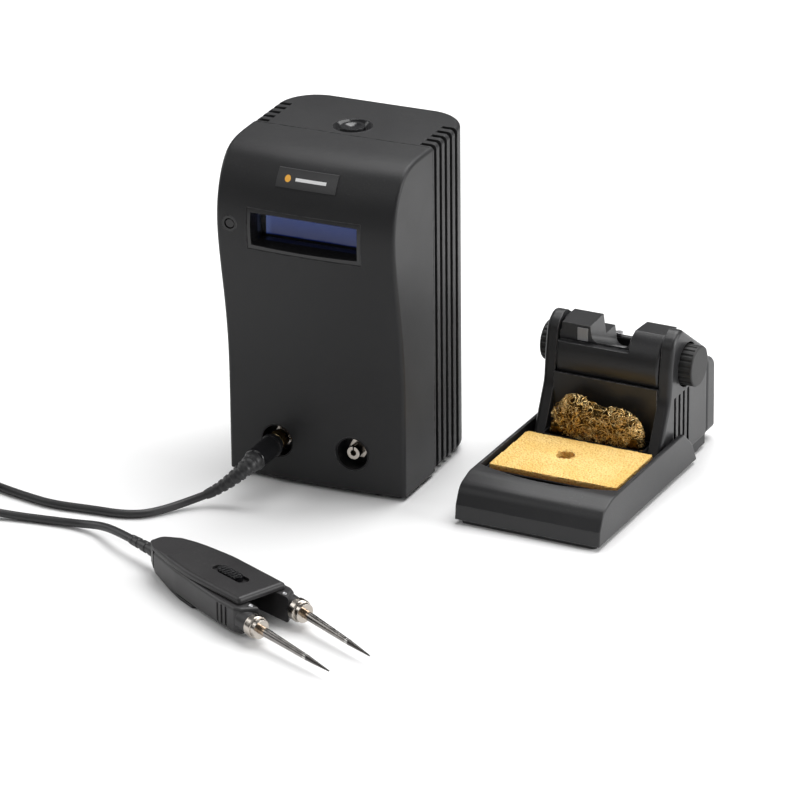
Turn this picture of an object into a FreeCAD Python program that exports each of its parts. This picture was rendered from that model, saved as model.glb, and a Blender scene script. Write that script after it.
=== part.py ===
import FreeCAD, Part
import math
import os
from FreeCAD import Placement, Rotation, Vector

# A desk soldering station: a power unit with two outlets, a workstand with a
# tilting cradle, sponge and brass wool, and a tweezer handpiece on its lead.
# Three local frames share one document: the power unit, the stand and the
# handpiece are each drawn about their own origin and placed by "layout".

os.makedirs("parts", exist_ok=True)
doc = FreeCAD.newDocument("SolderingStation")
sheet = doc.addObject("Spreadsheet::Sheet", "dims")

driving = {
    # where each unit stands on the bench
    "unitX": -78.75, "unitY": 82.4, "unitTurn": 0,
    "standX": 81.65, "standY": 16.5, "standTurn": -2.3,
    "toolX": -120.15, "toolY": -121.5, "toolTurn": -26,
    # power unit
    "unitWide": 131, "unitHigh": 235, "rearDeep": 67.3, "footHigh": 3, "wall": 2.5,
    "waistY": -50, "bulgeAxis": 480, "cornerRound": 28,
    "slotWide": 4.2, "slotDeep": 10.5, "slotPitch": 8.4, "slotFirst": 4.4,
    "screenWide": 82, "screenHigh": 29, "screenZ": 184.5, "glassWide": 66, "glassHigh": 14,
    "outletX": 27.6, "outletZ": 29.5, "outletBore": 12, "cupFloorY": -36,
    "powerY": 17.5, "powerRadius": 8.3,
    "selectX": -53.9, "selectZ": 185.5, "selectRadius": 3.4,
    # stand
    "trayWide": 104.6, "trayHigh": 29.5, "trayLong": 158, "towerWide": 93.6,
    "towerWall": 8.8, "pivotY": 152, "pivotZ": 73.3, "drumRadius": 28, "earTop": 97.5,
    "channelWide": 27, "knobRadius": 14, "knobThick": 12.7, "studRadius": 4,
    "floorZ": 10, "spongeTop": 28.5,
    # handpiece
    "coverTop": 25, "armPivotU": 18, "armPivotV": 9.5, "pinRadius": 1.5,
    "nozzleU": 124.5, "nozzleV": 17.8, "nozzleZ": 11.5, "nozzleRadius": 7.6,
    "noseDown": 3.8, "noseIn": 1.2,
    # lead
    "leadRadius": 2.75, "coilRadius": 30, "coilTurns": 4.5,
}
for row, (alias, value) in enumerate(driving.items(), start=1):
    sheet.set("A%d" % row, str(value))
    sheet.setAlias("A%d" % row, alias)
doc.recompute()


def size(alias):
    return float(getattr(sheet, alias))


def cell(text):
    """Turn bare alias words in an expression into sheet references."""
    words = sorted(driving, key=len, reverse=True)
    out, i = "", 0
    while i < len(text):
        hit = next((w for w in words if text.startswith(w, i)), None)
        out += "dims." + hit if hit else text[i]
        i += len(hit) if hit else 1
    return out


count = [0]


def add(kind, **values):
    """Add one document object; text values become expressions."""
    count[0] += 1
    obj = doc.addObject(kind, "F%03d" % count[0])
    for key, value in values.items():
        if isinstance(value, str):
            obj.setExpression(key, cell(value))
        else:
            setattr(obj, key, value)
    return obj


def at(obj, x=0, y=0, z=0, rotation=None):
    """Place an object; each coordinate is a number or an expression."""
    obj.Placement = Placement(Vector(0, 0, 0), rotation or Rotation())
    for axis, value in zip("xyz", (x, y, z)):
        obj.setExpression("Placement.Base." + axis, cell(str(value)))
    return obj


def box(x0, x1, y0, y1, z0, z1):
    """A box between two corners, each coordinate a number or an expression."""
    spans = ["(%s) - (%s)" % pair for pair in ((x1, x0), (y1, y0), (z1, z0))]
    obj = add("Part::Box", Length=spans[0], Width=spans[1], Height=spans[2])
    return at(obj, x0, y0, z0)


alongX = Rotation(Vector(0, 1, 0), 90)
alongY = Rotation(Vector(1, 0, 0), -90)


def rod(radius, length, x=0, y=0, z=0, rotation=None):
    """A cylinder from its start point along Z, or along the rotation given."""
    obj = add("Part::Cylinder", Radius=str(radius), Height=str(length))
    return at(obj, x, y, z, rotation)


def cone(radius1, radius2, length, x=0, y=0, z=0, rotation=None):
    obj = add("Part::Cone", Radius1=str(radius1), Radius2=str(radius2), Height=str(length))
    return at(obj, x, y, z, rotation)


def cut(base, *tools):
    return add("Part::Cut", Base=base, Tool=tools[0] if len(tools) == 1 else join(*tools))


def join(*parts):
    return add("Part::MultiFuse", Shapes=list(parts))


def common(*parts):
    return add("Part::MultiCommon", Shapes=list(parts))


def mirrored(obj):
    """The same feature on the other side of the plane X = 0."""
    return add("Part::Mirroring", Source=obj, Normal=Vector(1, 0, 0))


def mirroredY(obj):
    return add("Part::Mirroring", Source=obj, Normal=Vector(0, 1, 0))


def rounded(corners):
    """Closed outline from corners (a, b) or (a, b, radius), rounded by arcs."""
    marks = []
    total = len(corners)
    for i, corner in enumerate(corners):
        here = Vector(corner[0], corner[1], 0)
        radius = corner[2] if len(corner) > 2 else 0
        before = Vector(*corners[i - 1][:2], 0)
        after = Vector(*corners[(i + 1) % total][:2], 0)
        toward1 = (before - here).normalize()
        toward2 = (after - here).normalize()
        if not radius:
            marks.append((here, None, here))
            continue
        half = toward1.getAngle(toward2) / 2
        reach = radius / math.tan(half)
        middle = (toward1 + toward2).normalize()
        apex = here + middle * (radius / math.sin(half) - radius)
        marks.append((here + toward1 * reach, apex, here + toward2 * reach))
    edges = []
    for i, (start, apex, end) in enumerate(marks):
        if apex:
            edges.append(Part.Arc(start, apex, end))
        following = marks[(i + 1) % total][0]
        if end.distanceToPoint(following) > 1e-6:
            edges.append(Part.LineSegment(end, following))
    return edges


planes = {
    "XY": Rotation(),
    "YZ": Rotation(Vector(1, 1, 1), 120),
    "XZ": Rotation(Vector(1, 0, 0), 90),
}


def slab(edges, plane, start, end):
    """Pad an outline drawn in a plane, from one height along its normal to another."""
    body = add("PartDesign::Body")
    sketch = body.newObject("Sketcher::SketchObject", "Outline")
    role = {"XY": "XY_Plane", "YZ": "YZ_Plane", "XZ": "XZ_Plane"}[plane]
    base = next(f for f in body.Origin.OriginFeatures if f.Role == role)
    sketch.AttachmentSupport = [(base, "")]
    sketch.MapMode = "FlatFace"
    sketch.setExpression("AttachmentOffset.Base.z", cell(str(start)))
    for edge in edges:
        sketch.addGeometry(edge, False)
    pad = body.newObject("PartDesign::Pad", "Pad")
    pad.Profile = sketch
    pad.setExpression("Length", cell("(%s) - (%s)" % (end, start)))
    return body


def soften(obj, radius, pick):
    """Round the edges whose middle point the test picks."""
    doc.recompute()
    rounding = add("Part::Fillet", Base=obj)
    chosen = []
    for number, edge in enumerate(obj.Shape.Edges, start=1):
        middle = edge.valueAt(edge.getParameterByLength(edge.Length / 2))
        if pick(middle, edge):
            chosen.append((number, radius, radius))
    rounding.Edges = chosen
    doc.recompute()
    if not rounding.Shape.isValid() or not rounding.Shape.Solids:
        raise RuntimeError("rounding failed on %s" % obj.Name)
    return rounding


nodes = {}


def node(label, layout, *pieces):
    """Keep a sub-part: one solid or a group, put where its unit stands."""
    part = doc.addObject("Part::Compound", label)
    part.Label = label
    part.Links = list(pieces)
    part.setExpression("Placement.Base.x", "dims.%sX" % layout)
    part.setExpression("Placement.Base.y", "dims.%sY" % layout)
    part.setExpression("Placement.Rotation.Angle", "dims.%sTurn" % layout)
    nodes[label] = part
    return part


# ---------------------------------------------------------------- power unit
unitHalf = size("unitWide") / 2
unitTop = size("unitHigh")
waist = size("waistY")
wall = size("wall")


def frontCurve(inset):
    """Side outline of the cover in (y, z): flat top, round brow, bulge, S-shaped waist."""
    top = unitTop - inset
    face = [Vector(8, top), Vector(-8, top), Vector(-24, top - 0.05),
            Vector(-44 + 0.6 * inset, 230.6 - 0.8 * inset),
            Vector(-57.5 + 0.9 * inset, 214 - 0.45 * inset), Vector(-63 + inset, 190),
            Vector(-60.5 + inset, 160), Vector(-54.5 + inset, 125),
            Vector(-50.6 + inset, 90), Vector(waist + inset, 60),
            Vector(waist + inset, 30), Vector(waist + inset, 0)]
    curve = Part.BSplineCurve()
    curve.interpolate(Points=face, InitialTangent=Vector(-1, 0), FinalTangent=Vector(0, -1))
    return curve


def frontBlock(inset, sideInset, backY, low):
    """The front volume: the side outline swept on a shallow arc, trimmed at the sides."""
    curve = frontCurve(inset)
    above, below = curve.value(curve.FirstParameter), curve.value(curve.LastParameter)
    heel = Vector(above.x, below.y)
    sketch = add("Sketcher::SketchObject")
    sketch.Placement = Placement(Vector(0, 0, 0), planes["YZ"])
    for edge in (curve, Part.LineSegment(below, heel), Part.LineSegment(heel, above)):
        sketch.addGeometry(edge, False)
    swept = add("Part::Revolution", Source=sketch, Axis=Vector(0, 0, 1), Solid=True,
                Symmetric=True, Angle=18.0)
    swept.setExpression("Base.y", "dims.bulgeAxis")
    half = unitHalf - sideInset
    trim = slab(rounded([(-half, backY), (-half + 1.5, -75), (half - 1.5, -75), (half, backY)]),
                "XY", low, 240)
    return common(swept, trim)


screenY = -63


def makeFrontCover():
    outside = frontBlock(0, 0, 0, size("footHigh"))
    outside = soften(outside, 2.6, lambda p, e: abs(p.x) > unitHalf - 3 and e.Length > 240)
    hollow = frontBlock(wall, wall, 1, 1)
    screen = box("-screenWide/2", "screenWide/2", -80, -44,
                 "screenZ - screenHigh/2", "screenZ + screenHigh/2")
    outlets = [rod("outletBore", 20, side + "outletX", -60, "outletZ", alongY) for side in ("-", "")]
    select = rod("selectRadius + 2.1", 20, "selectX", -72, "selectZ", alongY)
    return node("front_cover", "unit", cut(outside, hollow, screen, select, *outlets))


def makeLabel():
    """Thin plate that follows the curve above the display."""
    raised = frontBlock(-0.6, 0, 0, 3)
    under = frontBlock(0, -3, 1, 0)
    window = box(-21.5, 21.5, -80, -30, 215.5, 226.5)
    return node("label_plate", "unit", cut(common(raised, window), under))


def makeDisplay():
    deep = 14
    low, high = "screenZ - screenHigh/2", "screenZ + screenHigh/2"
    block = common(frontBlock(0.4, 0, 0, 3), box("-screenWide/2", "screenWide/2", -80, screenY + deep,
                                              low, high))
    slope = add("Part::Wedge", Ymin=0.0, Ymax=12.0, Xmin=-41.0, Xmax=41.0, Zmin=-14.6, Zmax=14.6,
                X2min=-36.0, X2max=36.0, Z2min=-8.6, Z2max=8.6)
    at(slope, 0, screenY - 4.2, "screenZ")
    aperture = box("-glassWide/2 - 3", "glassWide/2 + 3", -80, -40,
                   "screenZ - glassHigh/2 - 1.6", "screenZ + glassHigh/2 + 1.6")
    node("lcd_bezel", "unit", cut(block, slope, aperture))
    paneY = screenY + deep
    node("lcd_window", "unit", box("-glassWide/2 - 4", "glassWide/2 + 4", paneY, paneY + 1.5,
                                   "screenZ - glassHigh/2 - 3", "screenZ + glassHigh/2 + 3"))
    glass = box("-glassWide/2", "glassWide/2", paneY + 1.5, paneY + 4.5,
                "screenZ - glassHigh/2", "screenZ + glassHigh/2")
    board = box(-38, 38, paneY + 4.5, paneY + 6.1, "screenZ - 14", "screenZ + 14")
    node("lcd_module", "unit", glass)
    stem = box(-30, 30, paneY + 6.1, -12.5, "screenZ - 3", "screenZ + 3")
    node("display_board", "unit", join(board, stem))


def makeRearHousing():
    deep = size("rearDeep")
    corner = size("cornerRound")
    low, high = size("footHigh"), unitTop
    outline = [(-unitHalf, 0), (unitHalf, 0), (unitHalf, deep, corner), (-unitHalf, deep, corner)]
    outside = slab(rounded(outline), "XY", "footHigh", "unitHigh")
    outside = soften(outside, 3.5, lambda p, e: p.z > high - 0.01 and p.y > 1)
    outside = soften(outside, 4.5, lambda p, e: p.z < low + 0.01 and p.y > 1)
    slots = []
    for k in range(5):
        middle = "slotFirst + %d * slotPitch" % k
        near, far = middle + " - slotWide/2", middle + " + slotWide/2"
        slots.append(box("unitWide/2 - slotDeep", "unitWide/2 + 2", near, far, 0, "unitHigh + 2"))
        slots.append(box("-unitWide/2 - 2", "-unitWide/2 + slotDeep", near, far, 0, "unitHigh + 2"))
    narrow = unitHalf - size("slotDeep") - wall
    broad = unitHalf - wall - 1.5
    neck = size("slotFirst") + 4 * size("slotPitch") + size("slotWide") / 2 + wall
    inner = [(-narrow, -1), (narrow, -1), (narrow, neck), (broad, neck),
             (broad, deep - wall, corner - 6), (-broad, deep - wall, corner - 6),
             (-broad, neck), (-narrow, neck)]
    hollow = slab(rounded(inner), "XY", 0, "unitHigh - wall")
    dish = rod(13.5, 10, 0, "powerY", "unitHigh - wall - 1")
    panel = box(-40, 40, "rearDeep - 4", "rearDeep + 1", 14, 174)
    seam = cut(box(-70, 70, -1, 0.6, 0, "unitHigh + 1"),
               box("-unitWide/2 + 1", "unitWide/2 - 1", -2, 2, -1, "unitHigh - 1"))
    node("rear_housing", "unit", cut(outside, hollow, dish, panel, seam, *slots))


def makePowerButton():
    """A push button with a scooped top in a dished ring, over its switch."""
    ring = rod(13.5, "wall + 1", 0, "powerY", "unitHigh - wall - 1")
    dish = cone("powerRadius + 1", 12.6, 3, 0, "powerY", "unitHigh - 2.9")
    hole = rod("powerRadius + 0.4", 12, 0, "powerY", "unitHigh - 8")
    node("power_bezel", "unit", cut(ring, dish, hole))
    scoop = at(add("Part::Sphere", Radius=14.0), 0, "powerY", "unitHigh + 12.6")
    cap = rod("powerRadius", 6, 0, "powerY", "unitHigh - 6")
    stem = rod(3, 5, 0, "powerY", "unitHigh - 11")
    node("power_button", "unit", cut(join(cap, stem), scoop))
    socket = rod(3.3, 8, 0, "powerY", "unitHigh - 14")
    house = box(-9, 9, "powerY - 9", "powerY + 9", 196, "unitHigh - 9.5")
    node("power_switch", "unit", cut(house, socket))


def makeSelectButton():
    """A small round button left of the display."""
    faceY = screenY + 3.2
    outer = rod("selectRadius + 2.1", 7, "selectX", faceY - 0.6, "selectZ", alongY)
    inner = rod("selectRadius + 0.3", 12, "selectX", faceY - 3, "selectZ", alongY)
    node("select_ring", "unit", cut(outer, inner))
    cap = rod("selectRadius", 7, "selectX", faceY - 0.2, "selectZ", alongY)
    cap = soften(cap, 0.8, lambda p, e: p.y < faceY)
    node("select_button", "unit", cap)


def makeOutlets():
    """Two recessed coaxial outlets: a cup, a slit barrel and a hexagon nut for each."""
    cups, jacks, nuts = [], [], []
    for x in ("-outletX", "outletX"):
        cup = rod("outletBore", 14.6, x, -49, "outletZ", alongY)
        hollow = rod("outletBore - 1", 20, x, "cupFloorY - 20", "outletZ", alongY)
        passage = rod(4.5, 40, x, -60, "outletZ", alongY)
        cups.append(cut(cup, hollow, passage))
        barrel = join(rod(4.5, 8.6, x, -47.5, "outletZ", alongY),
                      rod(4.3, 17.4, x, -38.9, "outletZ", alongY))
        bore = rod(2.1, 14, x, -48, "outletZ", alongY)
        slit = box(x + " - 0.5", x + " + 0.5", -48, -41, "outletZ", "outletZ + 6")
        jacks.append(cut(barrel, bore, slit))
        nut = add("Part::Prism", Polygon=6, Circumradius=7.4, Height=2.6)
        at(nut, x, "cupFloorY - 2.6", "outletZ", alongY)
        nuts.append(cut(nut, rod(4.3, 10, x, -45, "outletZ", alongY)))
    node("outlet_cups", "unit", *cups)
    node("outlet_jacks", "unit", *jacks)
    node("outlet_nuts", "unit", *nuts)


def makeUnitInside():
    """Base plate, feet, rear panel, inlet and the electronics."""
    deep = size("rearDeep")
    plate = rounded([(-52, -44.5, 4), (52, -44.5, 4), (52, deep - 4, 12), (-52, deep - 4, 12)])
    node("base_plate", "unit", slab(plate, "XY", "footHigh", "footHigh + 2"))
    feet = [rod(7, "footHigh", x, y, 0) for x in (-42, 42) for y in (-36, 52)]
    node("rubber_feet", "unit", *feet)
    inlet = box(-14, 14, "rearDeep - 22", "rearDeep + 3", 24, 46)
    flange = box(-25, 25, "rearDeep", "rearDeep + 3", 20, 50)
    mouth = box(-12, 12, "rearDeep - 14", "rearDeep + 4", 26, 44)
    node("mains_inlet", "unit", cut(join(inlet, flange), mouth))
    pins = [box(x - 1, x + 1, "rearDeep - 14", "rearDeep + 0.5", 30, 34.5) for x in (-7, 7)]
    pins.append(box(-1, 1, "rearDeep - 14", "rearDeep + 0.5", 35, 39))
    node("inlet_pins", "unit", *pins)
    sleeve = rod(5, 14, 0, "rearDeep - 10.5", 66, alongY)
    node("ground_jack", "unit", cut(sleeve, rod(2, 13, 0, "rearDeep - 8.5", 66, alongY)))
    panel = box(-40, 40, "rearDeep - 4", "rearDeep", 14, 174)
    holes = [box(-14, 14, 0, 80, 24, 46), rod(5, 20, 0, "rearDeep - 10", 66, alongY)]
    for k in range(8):
        holes.append(box(-28, 28, "rearDeep - 5", "rearDeep + 1", 96 + 8 * k, 99 + 8 * k))
    node("rear_panel", "unit", cut(panel, *holes))
    node("main_board", "unit", box(-49, 49, 38, 39.6, "footHigh + 2", 190))
    sink = box(-30, 30, 33, 38, 90, 170)
    fins = [box(-30 + 7 * k, -28 + 7 * k, 18, 33, 90, 170) for k in range(9)]
    node("heat_sink", "unit", join(sink, *fins))
    core = box(-33, 33, -16, 18, "footHigh + 2", 61)
    windows = [box(x - 7, x + 7, -20, 22, 17, 49) for x in (-19, 19)]
    node("transformer_core", "unit", cut(core, *windows))
    coil = box(-25.5, 25.5, -21, 23, 17.5, 48.5)
    node("transformer_winding", "unit", cut(coil, box(-12, 12, -30, 30, 10, 60)))
    screws = []
    for x, z in ((-36, 20), (36, 20), (-36, 168), (36, 168)):
        head = cone(2.2, 3.2, 1.6, x, "rearDeep", z, alongY)
        drive = box(x - 2.4, x + 2.4, "rearDeep + 1", "rearDeep + 3", z - 0.4, z + 0.4)
        screws.append(cut(head, drive))
    node("housing_screws", "unit", *screws)


# --------------------------------------------------------------------- stand
trayHalf = size("trayWide") / 2
towerHalf = size("towerWide") / 2
pivotY, pivotZ = size("pivotY"), size("pivotZ")
trayTop = size("trayHigh")
innerHalf = towerHalf - size("towerWall")


def trayOutline(inset):
    """Side outline of the tray: a bull-nose front, flat top, drooping tail."""
    top = trayTop - inset
    front = inset
    low = 3 if inset == 0 else 0
    end = size("trayLong") - inset
    return [(front, low), (front + 1.2, 13), (front + 7, top - 4.5, 12), (front + 22, top, 24),
            (end - 22, top, 8), (end - 8, 17.5, 14), (end, low)]


def makeTray():
    outside = slab(rounded(trayOutline(0)), "YZ", "-trayWide/2", "trayWide/2")
    outside = soften(outside, 1.2, lambda p, e: abs(p.x) > trayHalf - 0.01 and p.z > 4 and p.y < 150)
    hollow = slab(rounded(trayOutline(2.6)), "YZ", "-trayWide/2 + 2.6", "trayWide/2 - 2.6")
    half = trayHalf - 2.6
    brow = Part.Arc(Vector(-half, 34, 0), Vector(0, 24.5, 0), Vector(half, 34, 0))
    mouth = [brow, Part.LineSegment(Vector(half, 34, 0), Vector(half, 170, 0)),
             Part.LineSegment(Vector(half, 170, 0), Vector(-half, 170, 0)),
             Part.LineSegment(Vector(-half, 170, 0), Vector(-half, 34, 0))]
    node("stand_tray", "stand", cut(outside, hollow, slab(mouth, "XY", 2, 40)))


def makeStandBase():
    """Heavy cast base inside the tray, standing on an inset rim."""
    half = trayHalf - 2.6
    weight = slab(rounded([(-half, 4), (half, 4), (half, 154), (towerHalf, 154),
                           (towerHalf, 186, 3), (-towerHalf, 186, 3), (-towerHalf, 154),
                           (-half, 154)]), "XY", 3, "floorZ")
    rim = slab(rounded([(-48.8, 2.5, 3), (48.8, 2.5, 3), (44.5, 184, 8), (-44.5, 184, 8)]),
               "XY", 0, 3)
    node("stand_base", "stand", join(weight, rim))


def makeTowerSides():
    """Two thick cheeks with a round nose over the pivot and louvre grooves."""
    floor = size("floorZ")
    outline = [(187, floor), (187, 72, 3), (142, 103, 9), (130, 96, 12), (126.5, 78, 30),
               (124, 56, 24), (107, 21), (103, floor)]
    cheek = slab(rounded(outline), "YZ", "towerWide/2 - towerWall", "towerWide/2")
    cheek = soften(cheek, 3, lambda p, e: p.x > towerHalf - 0.01 and p.z > 22 and p.y < 186)
    recess = rod("knobRadius + 1.5", 20, "towerWide/2 - 3.8", "pivotY", "pivotZ", alongX)
    passage = rod("studRadius + 0.08", 30, 30, "pivotY", "pivotZ", alongX)
    grooves = [box("towerWide/2 - 2.2", "towerWide/2 + 1", 131 + 7.2 * k, 134.6 + 7.2 * k, 16, 56)
               for k in range(4)]
    right = cut(cheek, recess, passage, *grooves)
    node("tower_side_right", "stand", right)
    node("tower_side_left", "stand", mirrored(right))


def makeTowerPlates():
    """Front wall under the cradle, rear wall, deck and the rear block."""
    half = innerHalf
    clear = rod("drumRadius + 1.2", 120, -60, "pivotY", "pivotZ", alongX)
    wallPlate = box(-half, half, 122.5, 126.5, "floorZ", 64)
    node("tower_front_wall", "stand", cut(wallPlate, clear))
    back = box(-half, half, 182, 187, "floorZ", 71)
    back = soften(back, 2, lambda p, e: p.z > 70.9 and abs(p.x) < 1)
    node("tower_rear_wall", "stand", back)
    lower = 187
    outline = rounded([(lower, 6), (lower + 19, 6, 3), (lower + 18, 58, 7), (lower, 66, 2)])
    block = slab(outline, "YZ", -45.5, 45.5)
    block = soften(block, 5, lambda p, e: p.y > lower + 10 and abs(p.x) > 45)
    node("rear_block", "stand", block)
    screws = []
    for x in (-18, 18):
        head = rod(2.8, 1.8, x, 184.5, 71)
        screws.append(cut(head, box(x - 3, x + 3, 184.1, 184.9, 72, 74)))
    node("stand_screws", "stand", *screws)


def channelTool():
    """The tilted trough that the handpiece lies in, open to the front and the top."""
    half = size("channelWide") / 2
    trough = slab(rounded([(-half, 4, 5), (half, 4, 5), (half + 7, 60), (-half - 7, 60)]),
                  "XZ", -60, 60)
    trough.Placement = Placement(Vector(0, pivotY, pivotZ), Rotation(Vector(1, 0, 0), -23))
    return trough


def makeCradle():
    """A drum between the cheeks with a ledge, a tilted channel and a raised left ear."""
    half = innerHalf - 0.5
    drum = rod("drumRadius", 2 * half, -half, "pivotY", "pivotZ", alongX)
    drum = soften(drum, 2, lambda p, e: True)
    ear = box(-half + 2, -9, 131, 150, "pivotZ", "earTop")
    ledge = box(-half - 1, 15, 100, 131, 85, 120)
    top = box(-half - 1, half + 1, 100, 220, "earTop", 130)
    flat = box(-half - 1, half + 1, pivotY + 3, 220, pivotZ + 10, 130)
    bores = [rod("studRadius + 0.05", 14, x, "pivotY", "pivotZ", alongX) for x in (25, -39)]
    back = box(-half - 1, half + 1, pivotY + 20, 220, 20, 130)
    body = cut(join(drum, ear), channelTool(), ledge, top, flat, back, *bores)
    node("cradle", "stand", body)
    node("cradle_pad", "stand", box(-24, -16.5, 130.2, 131, 86.5, 95.5))


def makeKnobs():
    """Fluted clamp knobs with their studs."""
    outer = towerHalf - 3.5
    disc = rod("knobRadius", "knobThick", outer, "pivotY", "pivotZ", alongX)
    disc = soften(disc, 1.2, lambda p, e: p.x > outer + 5)
    flutes = []
    total = 22
    for k in range(total):
        angle = 2 * math.pi * k / total
        reach = size("knobRadius") + 0.5
        flutes.append(rod(1.2, size("knobThick") - 2.2, outer + 0.9, pivotY + reach * math.cos(angle),
                          pivotZ + reach * math.sin(angle), alongX))
    stud = rod("studRadius", outer - 26, 26, "pivotY", "pivotZ", alongX)
    knob = cut(join(disc, stud), *flutes)
    node("knob_right", "stand", knob)
    node("knob_left", "stand", mirrored(knob))


def tile(wide, front, back, radius):
    """Plan outline of the sponge and of its pan."""
    return rounded([(-wide, front, radius), (wide, front, radius), (wide, back, radius),
                    (-wide, back, radius)])


def makeCleaners():
    """Sponge in its pan and brass wool in its holder."""
    pan = slab(tile(48.8, 37, 101.4, 3), "XY", "floorZ", 25)
    pocket = slab(tile(47.3, 38.5, 100, 2.5), "XY", "floorZ + 1.5", 30)
    node("sponge_pan", "stand", cut(pan, pocket))
    pad = slab(tile(46.6, 39.2, 99, 2), "XY", "floorZ + 1.5", "spongeTop")
    node("sponge", "stand", cut(pad, rod(6, 40, -7, 75, 0)))
    half = innerHalf - 0.6
    holder = box(-half, half, 102.2, 120, "floorZ", 27)
    node("wool_holder", "stand", cut(holder, box(-half + 1.2, half - 1.2, 103.4, 118.8,
                                                 "floorZ + 1.2", 40)))
    lumps = [box(-half + 1.6, half - 1.6, 103.8, 118.4, "floorZ + 1.2", 34)]
    for x, y, z, wide, tall in ((-14, 111.1, 36, 21, 21), (15, 111.1, 34, 20, 18.5)):
        lump = add("Part::Ellipsoid", Radius1=tall, Radius2=wide, Radius3=7.3)
        at(lump, x, y, z)
        lumps.append(lump)
    node("brass_wool", "stand", join(*lumps))


# ----------------------------------------------------------------- handpiece
def coverOutline(grow, front):
    return rounded([(2 - grow, -5, 5), (14, -11.5 - grow, 14), (36, -16 - grow, 60),
                    (60, -19 - grow, 90), (front, -19 - grow, 2), (front, 19 + grow, 2),
                    (60, 19 + grow, 90), (36, 16 + grow, 60), (14, 11.5 + grow, 14),
                    (2 - grow, 5, 5)])


armInner = ((13, -7.2), (62, -9), (110, -10.8), (124.5, -11.6))


def underside(raised):
    """Side outline of the space under the handpiece, which rises towards its tail."""
    return rounded([(-6, -2), (130, -2), (130, raised), (48, raised), (2, 7 + raised),
                    (-6, 8.2 + raised)])


def makeHandle():
    """Top cover, bottom plate with its spine, hinge pins, slide switch and return spring."""
    top = size("coverTop")
    lid = slab(coverOutline(0, 113), "XY", 21, "coverTop")
    lid = soften(lid, 2.6, lambda p, e: p.z > top - 0.01)
    droop = slab(rounded([(-6, 21.2), (34, 25.05), (34, 32), (-6, 32)]), "XZ", -30, 30)
    track = slab(rounded([(64, -4.4, 4.3), (97, -4.4, 4.3), (97, 4.4, 4.3), (64, 4.4, 4.3)]),
                 "XY", 22.8, 30)
    notch = box(74, 86, -1.6, 1.6, 20, 30)
    tail = slab(rounded([(2, -5, 5), (12, -10.4), (12, 10.4), (2, 5, 5)]), "XY", 2, 21)
    skirt = cut(tail, box(7.5, 24, -5.9, 5.9, 0, 24), rod(4.3, 12, -3, 0, 12, alongX),
                slab(underside(2.1), "XZ", -30, 30))
    node("handle_cover", "tool", cut(join(lid, skirt), track, notch, droop))
    floorPlate = slab(rounded([(3, -4.6, 4), (14, -10.7, 14), (36, -15.2, 60), (64, -18.4, 2),
                               (64, 18.4, 2), (36, 15.2, 60), (14, 10.7, 14), (3, 4.6, 4)]),
                      "XY", 0, 9)
    floorPlate = common(floorPlate, slab(underside(2), "XZ", -30, 30))
    spine = slab(rounded([(7.6, -5.8, 1), (20, -5.8, 2), (60, -2.4, 2), (60, 2.4, 2), (20, 5.8, 2),
                          (7.6, 5.8, 1)]), "XY", 1, 21)
    bore = rod(4.3, 12, -3, 0, 12, alongX)
    clear = slab(underside(0), "XZ", -30, 30)
    node("handle_base", "tool", cut(join(floorPlate, spine), bore, clear))
    pins = [rod("pinRadius", 14, "armPivotU", side + "armPivotV", 7) for side in ("-", "")]
    node("arm_pins", "tool", *pins)
    thumb = slab(rounded([(69, -3.4, 3.3), (91, -3.4, 3.3), (91, 3.4, 3.3), (69, 3.4, 3.3)]),
                 "XY", 23, 26.6)
    ridges = [box(72.6 + 3 * k, 74 + 3 * k, -5, 5, 25.6, 28) for k in range(6)]
    tongue = box(76.5, 83.5, -1.4, 1.4, 21.4, 23)
    node("slide_switch", "tool", cut(join(thumb, tongue), *ridges))
    leaf = box(60, 60.6, -2.2, 2.2, 5, 17)
    arms = [box(60.6, 90, s * 2.2 - 0.3, s * 2.2 + 0.3, 5, 17) for s in (-1, 1)]
    node("arm_spring", "tool", join(leaf, *arms))


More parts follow.
